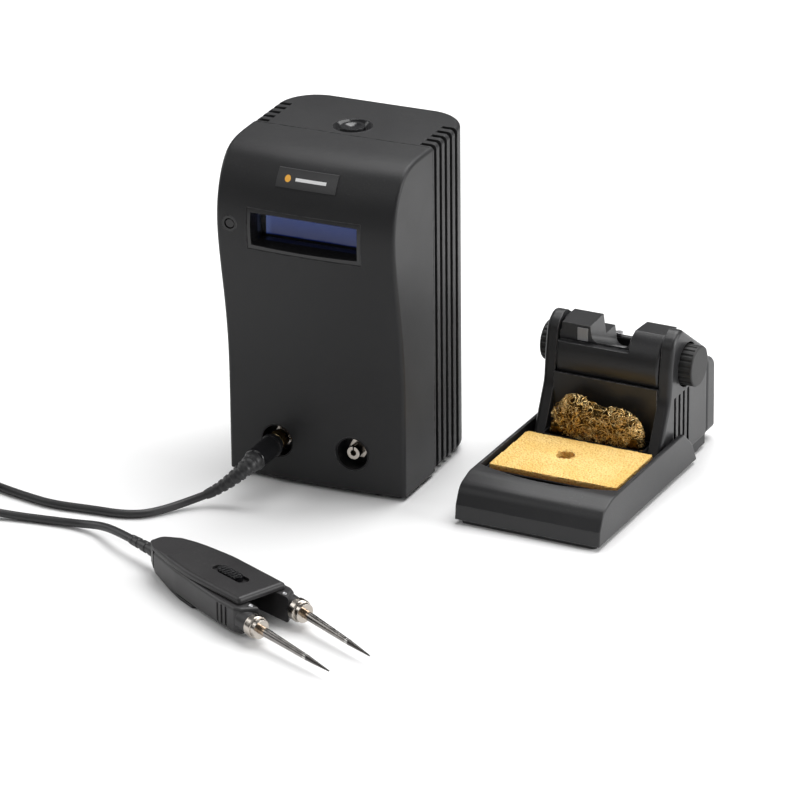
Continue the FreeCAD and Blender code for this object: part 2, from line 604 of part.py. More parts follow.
def makeArms():
    """One tweezer arm with its nickel nozzle and cartridge, then its mirror image."""
    outer = [(13, -11.2, 2), (24, -13.2, 30), (44, -17.2, 60), (72, -20.8, 90), (98, -23.2, 40),
             (113, -23.4, 4), (117.5, -21.6, 2)]
    corners = [(u, v) for u, v in reversed(armInner)]
    body = slab(rounded(outer + corners), "XY", 2.6, 20.4)
    body = soften(body, 2.4, lambda p, e: (p.z < 2.7 or p.z > 20.3) and p.y < -12.5 and p.x < 113)
    pivot = rod("pinRadius + 0.06", 40, "armPivotU", "-armPivotV", 0)
    ribs = [box(95 + 4.4 * k, 97 + 4.4 * k, -26, -22.3, 5, 18) for k in range(3)]
    down, inward = math.radians(size("noseDown")), math.radians(size("noseIn"))
    forward = Vector(1, math.tan(inward), -math.tan(down)).normalize()
    aim = Rotation(Vector(0, 0, 1), forward)
    seat = Vector(size("nozzleU"), -size("nozzleV"), size("nozzleZ"))

    def onAxis(start, length, radius1, radius2):
        foot = seat + forward * start
        if radius1 == radius2:
            return rod(radius1, length, foot.x, foot.y, foot.z, aim)
        return cone(radius1, radius2, length, foot.x, foot.y, foot.z, aim)

    collarRadius = size("nozzleRadius")
    neck = onAxis(-9, 9, 6.6, 6.6)
    arm = cut(join(body, neck), pivot, onAxis(-16, 30, 3.5, 3.5),
              slab(underside(2.6), "XZ", -30, 30), *ribs)
    collar = soften(onAxis(0.2, 5.6, collarRadius, collarRadius), 1, lambda p, e: True)
    lip = onAxis(5.6, 3.4, collarRadius - 1.2, collarRadius - 1.2)
    snout = onAxis(-15, 16, 3.4, 3.4)
    nozzle = cut(join(collar, lip, snout), onAxis(-20, 40, 2.9, 2.9))
    cartridge = join(onAxis(-14, 30, 2.85, 2.85), onAxis(16, 38, 2.85, 1.9),
                     onAxis(54, 21, 1.9, 0.5))
    for name, part in (("arm", arm), ("nozzle", nozzle), ("cartridge", cartridge)):
        node(name + "_left", "tool", part)
        node(name + "_right", "tool", mirroredY(part))


# ---------------------------------------------------------------------- lead
def bench(u, v, w):
    """A handpiece point in the power unit's frame."""
    turn = math.radians(size("toolTurn"))
    x = size("toolX") - size("unitX") + u * math.cos(turn) - v * math.sin(turn)
    y = size("toolY") - size("unitY") + u * math.sin(turn) + v * math.cos(turn)
    return Vector(x, y, w)


lead = size("leadRadius")
plugExit = Vector(-size("outletX"), -85, size("outletZ"))
reliefEnd = Vector(-54.4, -104.6, 8)
coilCentre = Vector(-236, -157, 0)
coilTop = lead + 2 * lead * size("coilTurns")
toolTail = bench(-25, 0, 12)

leadNear = [reliefEnd, Vector(-63.6, -111.6, 4.6), Vector(-73.8, -125.5, 2.9),
            Vector(-83.5, -137.5, lead), Vector(-97.5, -143.3, lead), Vector(-118, -144.3, lead),
            Vector(-146, -147.4, lead), Vector(-168, -143.2, lead), Vector(-191, -137.2, lead),
            Vector(-214, -129, lead), coilCentre + Vector(0, 30, lead)]
leadFar = [coilCentre + Vector(0, -30, coilTop), Vector(-216, -187.2, 25.4),
           Vector(-199, -183.4, 14), Vector(-182, -177.8, 5), Vector(-160, -173.3, lead),
           Vector(-136, -170.4, lead), Vector(-115, -168.6, 3.2), Vector(-96, -173.4, 7.4),
           bench(-40, 0, 12), toolTail]


def leadTube(label, points):
    """A tube along straight runs joined by tangent arcs as large as the runs allow."""
    edges, start = [], points[0]
    radii = []
    for before, here, after in zip(points, points[1:], points[2:]):
        toward1 = (before - here).normalize()
        toward2 = (after - here).normalize()
        half = toward1.getAngle(toward2) / 2
        reach = 0.45 * min((before - here).Length, (after - here).Length)
        radius = reach * math.tan(half)
        radii.append(radius)
        apex = here + (toward1 + toward2).normalize() * (radius / math.sin(half) - radius)
        enter, leave = here + toward1 * reach, here + toward2 * reach
        edges.append(Part.LineSegment(start, enter).toShape())
        edges.append(Part.Arc(enter, apex, leave).toShape())
        start = leave
    edges.append(Part.LineSegment(start, points[-1]).toShape())
    path = Part.Wire(edges)
    direction = (points[1] - points[0]).normalize()
    ring = Part.Wire(Part.Circle(points[0], direction, lead).toShape())
    tube = path.makePipeShell([ring], True, False)
    expected = math.pi * lead ** 2 * path.Length
    print(label, "length %.0f mm" % path.Length, "volume ratio %.3f" % (tube.Volume / expected),
          "radii", [round(r) for r in radii])
    feature = add("Part::Feature", Shape=tube)
    return node(label, "unit", feature)


def makeRelief(label, knots, radius1, radius2):
    """A tapered strain relief lofted through rings along a gentle bend of four knots."""
    curve = Part.BezierCurve()
    curve.setPoles(knots)
    rings = []
    for k in range(9):
        share = k / 8
        radius = radius1 + (radius2 - radius1) * share
        circle = Part.Circle(curve.value(share), curve.tangent(share)[0], radius)
        rings.append(Part.Wire(circle.toShape()))
    feature = add("Part::Feature", Shape=Part.makeLoft(rings, True, False))
    return node(label, "unit", feature)


def makePlug():
    """The plug in the left outlet: a brass collar and pin, a glossy body with a raised ring."""
    x, z = "-outletX", "outletZ"
    collar = rod(6.4, 9, x, -53, z, alongY)
    collar = cut(collar, rod(4.56, 8, x, -49.5, z, alongY))
    centre = rod(1.9, 13, x, -53, z, alongY)
    node("plug_collar", "unit", join(collar, centre))
    shell = rod(7.4, 30, x, -85, z, alongY)
    shell = soften(shell, 1.6, lambda p, e: p.y < -80)
    shell = cut(shell, rod(6.4, 3, x, -53.001, z, alongY))
    ring = cut(rod(8.1, 3, x, -60, z, alongY), rod(7.2, 5, x, -61, z, alongY))
    node("plug_body", "unit", join(shell, ring))
    onward = (leadNear[1] - leadNear[0]).normalize()
    makeRelief("plug_relief", [plugExit, plugExit + Vector(0, -16, 0), reliefEnd - onward * 16,
                               reliefEnd], 6.6, 3.6)
    makeRelief("tool_relief", [bench(1, 0, 12), bench(-8, 0, 12), bench(-16, 0, 12), toolTail],
               4.2, 3.3)


def makeLead():
    leadTube("lead_near", leadNear)
    leadTube("lead_far", leadFar)
    high = 2 * lead * (size("coilTurns") + 1)
    outer = rod("coilRadius + leadRadius", high, coilCentre.x, coilCentre.y, 0)
    inner = rod("coilRadius - leadRadius", high + 2, coilCentre.x, coilCentre.y, -1)
    node("lead_coil", "unit", cut(outer, inner))


makeFrontCover()
makeLabel()
makeDisplay()
makeRearHousing()
makePowerButton()
makeSelectButton()
makeOutlets()
makeUnitInside()
makeTray()
makeStandBase()
makeTowerSides()
makeTowerPlates()
makeCradle()
makeKnobs()
makeCleaners()
makeHandle()
makeArms()
makePlug()
makeLead()

doc.recompute()
for obj in doc.Objects:
    if "Invalid" in obj.State or "Error" in obj.State:
        raise RuntimeError("%s (%s) failed: %s" % (obj.Name, obj.TypeId, obj.getStatusString()))
for label, part in nodes.items():
    if part.Shape.isNull() or not part.Shape.isValid() or not part.Shape.Solids:
        raise RuntimeError(label + " has no valid shape")
    solids = part.Shape.Solids
    shape = solids[0] if len(solids) == 1 else part.Shape
    shape.exportStep("parts/%s.step" % label)
print(len(nodes), "nodes")
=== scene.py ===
import bpy
import bmesh
import math
import random
from mathutils import Matrix, Vector, noise
from mathutils.geometry import interpolate_bezier


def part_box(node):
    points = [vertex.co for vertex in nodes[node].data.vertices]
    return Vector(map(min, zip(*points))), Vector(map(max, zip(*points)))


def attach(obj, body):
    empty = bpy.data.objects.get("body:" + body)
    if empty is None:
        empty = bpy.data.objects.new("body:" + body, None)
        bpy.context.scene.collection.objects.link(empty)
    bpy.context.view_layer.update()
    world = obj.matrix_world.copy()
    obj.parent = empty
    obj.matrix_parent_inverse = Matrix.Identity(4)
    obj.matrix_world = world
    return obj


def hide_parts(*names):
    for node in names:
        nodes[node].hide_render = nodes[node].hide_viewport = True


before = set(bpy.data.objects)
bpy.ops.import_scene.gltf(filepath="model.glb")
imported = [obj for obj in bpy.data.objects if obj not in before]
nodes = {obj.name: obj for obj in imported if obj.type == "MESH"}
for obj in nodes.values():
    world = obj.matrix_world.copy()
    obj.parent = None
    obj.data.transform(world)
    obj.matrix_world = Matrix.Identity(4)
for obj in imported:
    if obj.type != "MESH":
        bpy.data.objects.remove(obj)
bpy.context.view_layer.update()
scene = bpy.context.scene
mm = 0.001

layout = {  # where each unit stands on the bench: x, y in mm and turn in degrees
    "unit": (-78.75, 82.4, 0.0),
    "stand": (81.65, 16.5, -2.3),
    "tool": (-120.15, -121.5, -26.0),
}


def spot(unit, x, y, z):  # a point of one unit, in metres in the frame of the whole station
    atX, atY, turn = layout[unit]
    c, s = math.cos(math.radians(turn)), math.sin(math.radians(turn))
    return Vector((atX + x * c - y * s, atY + x * s + y * c, z)) * mm


# camera and light
view = {
    "place": (1.28745, -2.8078, 1.4331), "lens": 233.06, "sensor": 36.0,
    "right": (0.9105, 0.4134, -0.009), "up": (-0.1573, 0.3664, 0.9171),
    "back": (0.38237, -0.83363, 0.39858),
}
cameraData = bpy.data.cameras.new("camera")
cameraData.lens, cameraData.sensor_width = view["lens"], view["sensor"]
cameraData.clip_start, cameraData.clip_end = 0.05, 50
camera = bpy.data.objects.new("camera", cameraData)
scene.collection.objects.link(camera)
turned = Matrix((view["right"], view["up"], view["back"])).transposed().to_4x4()
camera.matrix_world = Matrix.Translation(view["place"]) @ turned
scene.camera = camera
scene.view_settings.view_transform = "Standard"

lamps = {  # name: place, aimed at, size, power
    "overhead": ((0.1, 0.75, 1.8), (0, 0.1, 0.1), 1.7, 50),
    "leftBox": ((-1.7, -0.1, 0.9), (0, 0.05, 0.1), 1.1, 9),
    "rightBox": ((2.1, 0.5, 0.75), (0, 0.05, 0.1), 1.1, 34),
    "frontFill": ((-0.5, -2.0, 2.2), (0, 0, 0.05), 1.6, 11),
}
for name, (place, aim, wide, power) in lamps.items():
    lampData = bpy.data.lights.new(name, "AREA")
    lampData.shape, lampData.size, lampData.energy = "SQUARE", wide, power
    lamp = bpy.data.objects.new(name, lampData)
    scene.collection.objects.link(lamp)
    lamp.location = place
    lamp.rotation_mode = "QUATERNION"
    lamp.rotation_quaternion = (Vector(aim) - Vector(place)).to_track_quat("-Z", "Y")
world = bpy.data.worlds.new("studio")
world.use_nodes = True
world.node_tree.nodes["Background"].inputs["Color"].default_value = (1, 1, 1, 1)
world.node_tree.nodes["Background"].inputs["Strength"].default_value = 0.16
scene.world = world
print("camera and light are set")


# shader tools
def newGroup(name, inputs, outputs):  # inputs: (name, kind, value); outputs: (name, kind)
    group = bpy.data.node_groups.new(name, "ShaderNodeTree")
    for label, kind, value in inputs:
        socket = group.interface.new_socket(label, in_out="INPUT", socket_type="NodeSocket" + kind)
        if value is not None:
            socket.default_value = value
    for label, kind in outputs:
        group.interface.new_socket(label, in_out="OUTPUT", socket_type="NodeSocket" + kind)
    return group, group.nodes.new("NodeGroupInput"), group.nodes.new("NodeGroupOutput")


def put(tree, kind, values=None, links=None, **settings):  # one node with its values and links
    made = tree.nodes.new("ShaderNode" + kind)
    for key, value in settings.items():
        setattr(made, key, value)
    for key, value in (values or {}).items():
        made.inputs[key].default_value = value
    for key, source in (links or {}).items():
        tree.links.new(source, made.inputs[key])
    return made


def maths(tree, operation, a, b):  # each value is a number or a socket
    made = tree.nodes.new("ShaderNodeMath")
    made.operation = operation
    for slotNumber, value in enumerate((a, b)):
        if isinstance(value, (int, float)):
            made.inputs[slotNumber].default_value = value
        else:
            tree.links.new(value, made.inputs[slotNumber])
    return made.outputs[0]


def spread(tree, value, low, high, toLow=0.0, toHigh=1.0):  # a clamped map range
    made = put(tree, "MapRange", {"From Min": low, "From Max": high, "To Min": toLow,
                                  "To Max": toHigh}, {"Value": value})
    return made.outputs["Result"]


def blendColour(tree, factor, first, second):
    made = tree.nodes.new("ShaderNodeMix")
    made.data_type = "RGBA"
    for key, value in ((0, factor), (6, first), (7, second)):
        if hasattr(value, "node"):
            tree.links.new(value, made.inputs[key])
        elif isinstance(value, (int, float)):
            made.inputs[key].default_value = value
        else:
            made.inputs[key].default_value = (*value[:3], 1)
    return made.outputs[2]


def mouldedGrainGroup():  # spark-eroded grain of a moulded case
    group, enter, leave = newGroup("mouldedGrain", [("Vector", "Vector", None),
                                                    ("Scale", "Float", 1500.0)],
                                   [("Height", "Float"), ("Tone", "Float")])
    fine = put(group, "TexNoise", {"Detail": 3.0, "Roughness": 0.6},
               {"Vector": enter.outputs["Vector"], "Scale": enter.outputs["Scale"]})
    cells = put(group, "TexVoronoi", {}, {"Vector": enter.outputs["Vector"],
                                          "Scale": enter.outputs["Scale"]})
    broad = put(group, "TexNoise", {"Scale": 14.0, "Detail": 4.0},
                {"Vector": enter.outputs["Vector"]})
    height = maths(group, "ADD", fine.outputs["Fac"],
                   maths(group, "MULTIPLY", cells.outputs["Distance"], 0.5))
    group.links.new(height, leave.inputs["Height"])
    group.links.new(broad.outputs["Fac"], leave.inputs["Tone"])
    return group


def softEdgeGroup():  # rounded corner normals and a mask of the edges, where wear and a painted highlight go
    group, enter, leave = newGroup("softEdge", [("Vector", "Vector", None),
                                                ("Radius", "Float", 0.0006)],
                                   [("Normal", "Vector"), ("Mask", "Float")])
    rounding = put(group, "Bevel", {}, {"Radius": enter.outputs["Radius"]}, samples=4)
    flat = put(group, "NewGeometry")
    agree = put(group, "VectorMath", {}, {0: rounding.outputs["Normal"], 1: flat.outputs["Normal"]},
                operation="DOT_PRODUCT")
    broken = put(group, "TexNoise", {"Scale": 260.0, "Detail": 3.0},
                 {"Vector": enter.outputs["Vector"]})
    edge = spread(group, agree.outputs["Value"], 0.995, 0.86)
    group.links.new(maths(group, "MULTIPLY", edge, spread(group, broken.outputs["Fac"], 0.35, 0.6)),
                    leave.inputs["Mask"])
    group.links.new(rounding.outputs["Normal"], leave.inputs["Normal"])
    return group


def settledDustGroup():  # light specks that lie on faces that look up
    group, enter, leave = newGroup("settledDust", [("Vector", "Vector", None),
                                                   ("Amount", "Float", 0.3)],
                                   [("Mask", "Float")])
    flat = put(group, "NewGeometry")
    up = put(group, "SeparateXYZ", {}, {0: flat.outputs["Normal"]})
    specks = put(group, "TexNoise", {"Scale": 900.0, "Detail": 2.0},
                 {"Vector": enter.outputs["Vector"]})
    drift = put(group, "TexNoise", {"Scale": 30.0, "Detail": 3.0},
                {"Vector": enter.outputs["Vector"]})
    thin = maths(group, "MULTIPLY", spread(group, specks.outputs["Fac"], 0.56, 0.72),
                 spread(group, drift.outputs["Fac"], 0.4, 0.7))
    mask = maths(group, "MULTIPLY", thin, spread(group, up.outputs["Z"], 0.3, 0.95))
    group.links.new(maths(group, "MULTIPLY", mask, enter.outputs["Amount"]), leave.inputs["Mask"])
    return group


def turnedMetalGroup():  # fine lathe rings or drawn lines along one axis
    group, enter, leave = newGroup("turnedMetal", [("Vector", "Vector", None),
                                                   ("Lines", "Float", 3000.0)],
                                   [("Height", "Float"), ("Tone", "Float")])
    stretched = put(group, "Mapping", {"Scale": (1, 0.02, 0.02)},
                    {"Vector": enter.outputs["Vector"]})
    lines = put(group, "TexNoise", {"Detail": 2.0}, {"Vector": stretched.outputs[0],
                                                     "Scale": enter.outputs["Lines"]})
    stain = put(group, "TexNoise", {"Scale": 160.0, "Detail": 4.0},
                {"Vector": enter.outputs["Vector"]})
    group.links.new(lines.outputs["Fac"], leave.inputs["Height"])
    group.links.new(stain.outputs["Fac"], leave.inputs["Tone"])
    return group


def boxMaskGroup():  # 1 inside a box about a centre, for a printed mark
    group, enter, leave = newGroup("boxMask", [("Vector", "Vector", None),
                                               ("Centre", "Vector", (0, 0, 0)),
                                               ("Half", "Vector", (1, 1, 1))],
                                   [("Mask", "Float")])
    away = put(group, "VectorMath", {}, {0: enter.outputs["Vector"], 1: enter.outputs["Centre"]},
               operation="SUBTRACT")
    size = put(group, "VectorMath", {}, {0: away.outputs[0]}, operation="ABSOLUTE")
    left = put(group, "VectorMath", {}, {0: enter.outputs["Half"], 1: size.outputs[0]},
               operation="SUBTRACT")
    parts = put(group, "SeparateXYZ", {}, {0: left.outputs[0]})
    least = maths(group, "MINIMUM", maths(group, "MINIMUM", parts.outputs[0], parts.outputs[1]),
                  parts.outputs[2])
    group.links.new(maths(group, "GREATER_THAN", least, 0.0), leave.inputs["Mask"])
    return group


mouldedGrain, softEdge, settledDust = mouldedGrainGroup(), softEdgeGroup(), settledDustGroup()
turnedMetal, boxMask = turnedMetalGroup(), boxMaskGroup()


def use(tree, group, values=None, links=None):  # place a group with its own values
    made = tree.nodes.new("ShaderNodeGroup")
    made.node_tree = group
    for key, value in (values or {}).items():
        made.inputs[key].default_value = value
    for key, source in (links or {}).items():
        tree.links.new(source, made.inputs[key])
    return made


def newMaterial(name, **plain):  # material, tree, shader and the piece's own coordinates
    material = bpy.data.materials.new(name)
    material.use_nodes = True
    tree = material.node_tree
    shader = tree.nodes["Principled BSDF"]
    for key, value in plain.items():
        shader.inputs[key.replace("_", " ")].default_value = value
    return material, tree, shader, put(tree, "TexCoord").outputs["Object"]


def bumped(tree, shader, height, depth, normal=None):  # depth in metres
    bump = put(tree, "Bump", {"Strength": 1.0, "Distance": depth}, {"Height": height})
    if normal is not None:
        tree.links.new(normal, bump.inputs["Normal"])
    tree.links.new(bump.outputs["Normal"], shader.inputs["Normal"])


def mouldedPlastic(name, look):  # grained case plastic with softened edges, lighter at the edges from wear and a painted highlight
    material, tree, shader, here = newMaterial(name, IOR=1.48)
    shader.inputs["Specular IOR Level"].default_value = look.get("shine", 0.5)
    grain = use(tree, mouldedGrain, {"Scale": look["grain"]}, {"Vector": here})
    edge = use(tree, softEdge, {"Radius": look["edge"]}, {"Vector": here})
    dust = use(tree, settledDust, {"Amount": look["dust"]}, {"Vector": here})
    colour = blendColour(tree, grain.outputs["Tone"], look["colour"], look["second"])
    # edge colour: partly wear, partly a painted highlight along the edges
    colour = blendColour(tree, edge.outputs["Mask"], colour, look["edgeWearAndHighlight"])
    colour = blendColour(tree, dust.outputs["Mask"], colour, (0.5, 0.49, 0.47))
    tree.links.new(colour, shader.inputs["Base Color"])
    rough = spread(tree, grain.outputs["Tone"], 0.3, 0.7, look["rough"] - 0.05, look["rough"] + 0.06)
    tree.links.new(rough, shader.inputs["Roughness"])
    bumped(tree, shader, grain.outputs["Height"], look["depth"], edge.outputs["Normal"])
    return material


def workedMetal(name, look, axisTurn=0.0):  # plated or drawn metal
    material, tree, shader, here = newMaterial(name)
    straight = put(tree, "Mapping", {"Rotation": (0, 0, math.radians(axisTurn))}, {"Vector": here})
    lines = use(tree, turnedMetal, {"Lines": look["lines"]}, {"Vector": straight.outputs[0]})
    edge = use(tree, softEdge, {"Radius": look["edge"]}, {"Vector": here})
    colour = blendColour(tree, lines.outputs["Tone"], look["colour"], look["second"])
    for start, end, tint in look.get("bands", ()):  # metres along the turned X axis
        along = put(tree, "SeparateXYZ", {}, {0: straight.outputs[0]}).outputs["X"]
        mask = maths(tree, "MULTIPLY", spread(tree, along, start, start + 0.4 * mm),
                     spread(tree, along, end, end - 0.4 * mm))
        colour = blendColour(tree, mask, colour, tint)
    # edge colour: partly wear, partly a painted highlight along the edges
    colour = blendColour(tree, edge.outputs["Mask"], colour, look["edgeWearAndHighlight"])
    tree.links.new(colour, shader.inputs["Base Color"])
    tree.links.new(spread(tree, lines.outputs["Tone"], 0.3, 0.7, look["rough"] - 0.06,
                          look["rough"] + 0.08), shader.inputs["Roughness"])
    metal = spread(tree, lines.outputs["Tone"], 0.0, 0.2, 0.9, 1.0)
    tree.links.new(metal, shader.inputs["Metallic"])
    bumped(tree, shader, lines.outputs["Height"], look["depth"], edge.outputs["Normal"])
    return material


toolTurn = -layout["tool"][2]
toolStart = spot("tool", 0, 0, 0)
toolStartAlong = toolStart.x * math.cos(math.radians(toolTurn)) \
    - toolStart.y * math.sin(math.radians(toolTurn))

# the edge colour in each look is partly wear and partly a painted highlight along the edges
plastics = {
    "blackShell": {"shine": 0.32, "colour": (0.013, 0.013, 0.014), "second": (0.018, 0.018, 0.019),
                   "edgeWearAndHighlight": (0.1, 0.1, 0.102), "rough": 0.43, "grain": 1500.0,
                   "depth": 0.00007, "edge": 0.0007, "dust": 0.05},
    "blackGloss": {"colour": (0.008, 0.008, 0.009), "second": (0.011, 0.011, 0.012),
                   "edgeWearAndHighlight": (0.03, 0.03, 0.03), "rough": 0.2, "grain": 700.0,
                   "depth": 0.00001, "edge": 0.0004, "dust": 0.03},
    "darkCup": {"shine": 0.25, "colour": (0.007, 0.007, 0.008), "second": (0.01, 0.01, 0.011),
                "edgeWearAndHighlight": (0.02, 0.02, 0.02), "rough": 0.42, "grain": 1100.0,
                "depth": 0.00003, "edge": 0.0003, "dust": 0.03},
    "standShell": {"shine": 0.42, "colour": (0.014, 0.014, 0.015), "second": (0.021, 0.021, 0.022),
                   "edgeWearAndHighlight": (0.2, 0.2, 0.205), "rough": 0.34, "grain": 1300.0,
                   "depth": 0.00005, "edge": 0.0008, "dust": 0.06},
    "cradlePad": {"colour": (0.2, 0.2, 0.205), "second": (0.27, 0.27, 0.275),
                  "edgeWearAndHighlight": (0.4, 0.4, 0.4), "rough": 0.35, "grain": 900.0,
                  "depth": 0.00002, "edge": 0.0004, "dust": 0.05},
    "knobRubber": {"colour": (0.011, 0.011, 0.011), "second": (0.017, 0.017, 0.017),
                   "edgeWearAndHighlight": (0.05, 0.05, 0.05), "rough": 0.55, "grain": 1700.0,
                   "depth": 0.00005, "edge": 0.0004, "dust": 0.08},
    "handleBlack": {"shine": 0.4, "colour": (0.017, 0.016, 0.017), "second": (0.024, 0.023, 0.024),
                    "edgeWearAndHighlight": (0.16, 0.155, 0.155), "rough": 0.42, "grain": 1900.0,
                    "depth": 0.00005, "edge": 0.0005, "dust": 0.08},
    "armGrey": {"shine": 0.42, "colour": (0.022, 0.021, 0.022), "second": (0.031, 0.03, 0.031),
                "edgeWearAndHighlight": (0.09, 0.088, 0.088), "rough": 0.4, "grain": 1900.0,
                "depth": 0.00004, "edge": 0.0005, "dust": 0.08},
    "leadJacket": {"colour": (0.016, 0.016, 0.017), "second": (0.024, 0.024, 0.025),
                   "edgeWearAndHighlight": (0.04, 0.04, 0.04), "rough": 0.43, "grain": 1500.0,
                   "depth": 0.00004, "edge": 0.0003, "dust": 0.08},
    "footRubber": {"colour": (0.01, 0.01, 0.01), "second": (0.016, 0.016, 0.016),
                   "edgeWearAndHighlight": (0.04, 0.04, 0.04), "rough": 0.7, "grain": 1500.0,
                   "depth": 0.00006, "edge": 0.0005, "dust": 0.2},
    "boardGreen": {"colour": (0.01, 0.09, 0.035), "second": (0.015, 0.12, 0.045),
                   "edgeWearAndHighlight": (0.4, 0.35, 0.2), "rough": 0.35, "grain": 600.0,
                   "depth": 0.00003, "edge": 0.0003, "dust": 0.2},
    "windingTape": {"colour": (0.5, 0.36, 0.05), "second": (0.6, 0.45, 0.08),
                    "edgeWearAndHighlight": (0.65, 0.52, 0.2), "rough": 0.4, "grain": 900.0,
                    "depth": 0.00004, "edge": 0.0005, "dust": 0.2},
    "castBase": {"colour": (0.02, 0.02, 0.021), "second": (0.03, 0.03, 0.031),
                 "edgeWearAndHighlight": (0.16, 0.15, 0.14), "rough": 0.6, "grain": 700.0,
                 "depth": 0.00012, "edge": 0.0006, "dust": 0.15},
}
# the edge colour here too is partly wear and partly a painted highlight along the edges
metals = {
    "nickelPlate": ({"colour": (0.4, 0.36, 0.32), "second": (0.58, 0.54, 0.49),
                     "edgeWearAndHighlight": (0.8, 0.77, 0.72), "rough": 0.19, "lines": 2500.0,
                     "depth": 0.00002, "edge": 0.0004}, toolTurn),
    "turnedBrass": ({"colour": (0.5, 0.33, 0.13), "second": (0.66, 0.47, 0.22),
                     "edgeWearAndHighlight": (0.8, 0.62, 0.35), "rough": 0.28, "lines": 2500.0,
                     "depth": 0.00002, "edge": 0.0004}, 90),
    "cartridgeSteel": ({"colour": (0.2, 0.19, 0.18), "second": (0.36, 0.345, 0.33),
                        "edgeWearAndHighlight": (0.6, 0.58, 0.55), "rough": 0.22, "lines": 2200.0,
                        "depth": 0.00003, "edge": 0.0003,
                        "bands": [(toolStartAlong + 0.1755, toolStartAlong + 0.1785, (0.55, 0.54, 0.52)),
                                  (toolStartAlong + 0.1785, toolStartAlong + 0.2005, (0.11, 0.105, 0.1)),
                                  (toolStartAlong + 0.132, toolStartAlong + 0.139, (0.42, 0.33, 0.25))]},
                       toolTurn),
    "plainSteel": ({"colour": (0.45, 0.45, 0.46), "second": (0.58, 0.58, 0.59),
                    "edgeWearAndHighlight": (0.7, 0.7, 0.7), "rough": 0.3, "lines": 1500.0,
                    "depth": 0.00002, "edge": 0.0003}, 0),
    "zincSheet": ({"colour": (0.3, 0.3, 0.31), "second": (0.42, 0.42, 0.43),
                   "edgeWearAndHighlight": (0.55, 0.55, 0.56), "rough": 0.42, "lines": 400.0,
                   "depth": 0.00002, "edge": 0.0004}, 0),
    "finAluminium": ({"colour": (0.55, 0.56, 0.57), "second": (0.68, 0.69, 0.7),
                      "edgeWearAndHighlight": (0.8, 0.8, 0.8), "rough": 0.35, "lines": 900.0,
                      "depth": 0.00002, "edge": 0.0003}, 0),
    "coreLaminations": ({"colour": (0.1, 0.09, 0.09), "second": (0.16, 0.15, 0.15),
                         "edgeWearAndHighlight": (0.3, 0.3, 0.3), "rough": 0.45, "lines": 2600.0,
                         "depth": 0.00015, "edge": 0.0003}, 0),
}
finish = {name: mouldedPlastic(name, look) for name, look in plastics.items()}
finish.update({name: workedMetal(name, look, turn) for name, (look, turn) in metals.items()})
print("plastics and metals are mixed:", len(finish))


# display, window and badge
badge = {"mark": ((-13.6, 221.0), 2.1), "bar": ((3.0, 221.0), (11.0, 0.95)),
         "plate": (0.022, 0.022, 0.023), "sheen": (0.03, 0.03, 0.031),
         "amber": (0.85, 0.42, 0.05), "pale": (0.75, 0.75, 0.75)}


def badgeFilm():  # dark film with an amber dot and a plain pale bar
    material, tree, shader, here = newMaterial("badgeFilm", Roughness=0.35)
    grain = use(tree, mouldedGrain, {"Scale": 2600.0}, {"Vector": here})
    middle = spot("unit", badge["bar"][0][0], 0, badge["bar"][0][1])
    bar = use(tree, boxMask, {"Centre": (middle.x, 0, middle.z),
                              "Half": (badge["bar"][1][0] * mm, 1, badge["bar"][1][1] * mm)},
              {"Vector": here})
    centre = spot("unit", badge["mark"][0][0], 0, badge["mark"][0][1])
    flat = put(tree, "VectorMath", {1: (1, 0, 1)}, {0: here}, operation="MULTIPLY")
    away = put(tree, "VectorMath", {1: (centre.x, 0, centre.z)}, {0: flat.outputs[0]},
               operation="DISTANCE")
    dot = maths(tree, "LESS_THAN", away.outputs["Value"], badge["mark"][1] * mm)
    colour = blendColour(tree, grain.outputs["Tone"], badge["plate"], badge["sheen"])
    colour = blendColour(tree, bar.outputs["Mask"], colour, badge["pale"])
    colour = blendColour(tree, dot, colour, badge["amber"])
    tree.links.new(colour, shader.inputs["Base Color"])
    bumped(tree, shader, grain.outputs["Height"], 0.00001)
    return material


def litPanel():  # blue backlight, brighter on top, with a paler strip at its left end
    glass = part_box("lcd_module")
    material, tree, shader, here = newMaterial("litPanel", Roughness=0.3, Emission_Strength=0.55)
    part = put(tree, "SeparateXYZ", {}, {0: here})
    rise = spread(tree, part.outputs["Z"], glass[0].z, glass[1].z)
    across = spread(tree, part.outputs["X"], glass[0].x, glass[0].x + 4.5 * mm)
    glow = blendColour(tree, rise, (0.008, 0.02, 0.11), (0.022, 0.06, 0.26))
    glow = blendColour(tree, across, (0.05, 0.1, 0.3), glow)
    mottle = put(tree, "TexNoise", {"Scale": 60.0, "Detail": 2.0}, {"Vector": here})
    glow = blendColour(tree, spread(tree, mottle.outputs["Fac"], 0.3, 0.7, 0.0, 0.3), glow,
                       (0.01, 0.025, 0.14))
    rows = put(tree, "TexWave", {"Scale": 380.0}, {"Vector": here}, bands_direction="Z")
    glow = blendColour(tree, spread(tree, rows.outputs["Fac"], 0.0, 1.0, 0.0, 0.12), glow,
                       (0, 0, 0))
    tree.links.new(glow, shader.inputs["Base Color"])
    tree.links.new(glow, shader.inputs["Emission Color"])
    return material


def clearWindow():
    material, tree, shader, here = newMaterial("clearWindow", Roughness=0.03, IOR=1.46,
                                               Transmission_Weight=1.0)
    smear = put(tree, "TexNoise", {"Scale": 55.0, "Detail": 3.0}, {"Vector": here})
    tree.links.new(spread(tree, smear.outputs["Fac"], 0.4, 0.7, 0.015, 0.06),
                   shader.inputs["Roughness"])
    return material


finish.update(badgeFilm=badgeFilm(), litPanel=litPanel(), clearWindow=clearWindow())

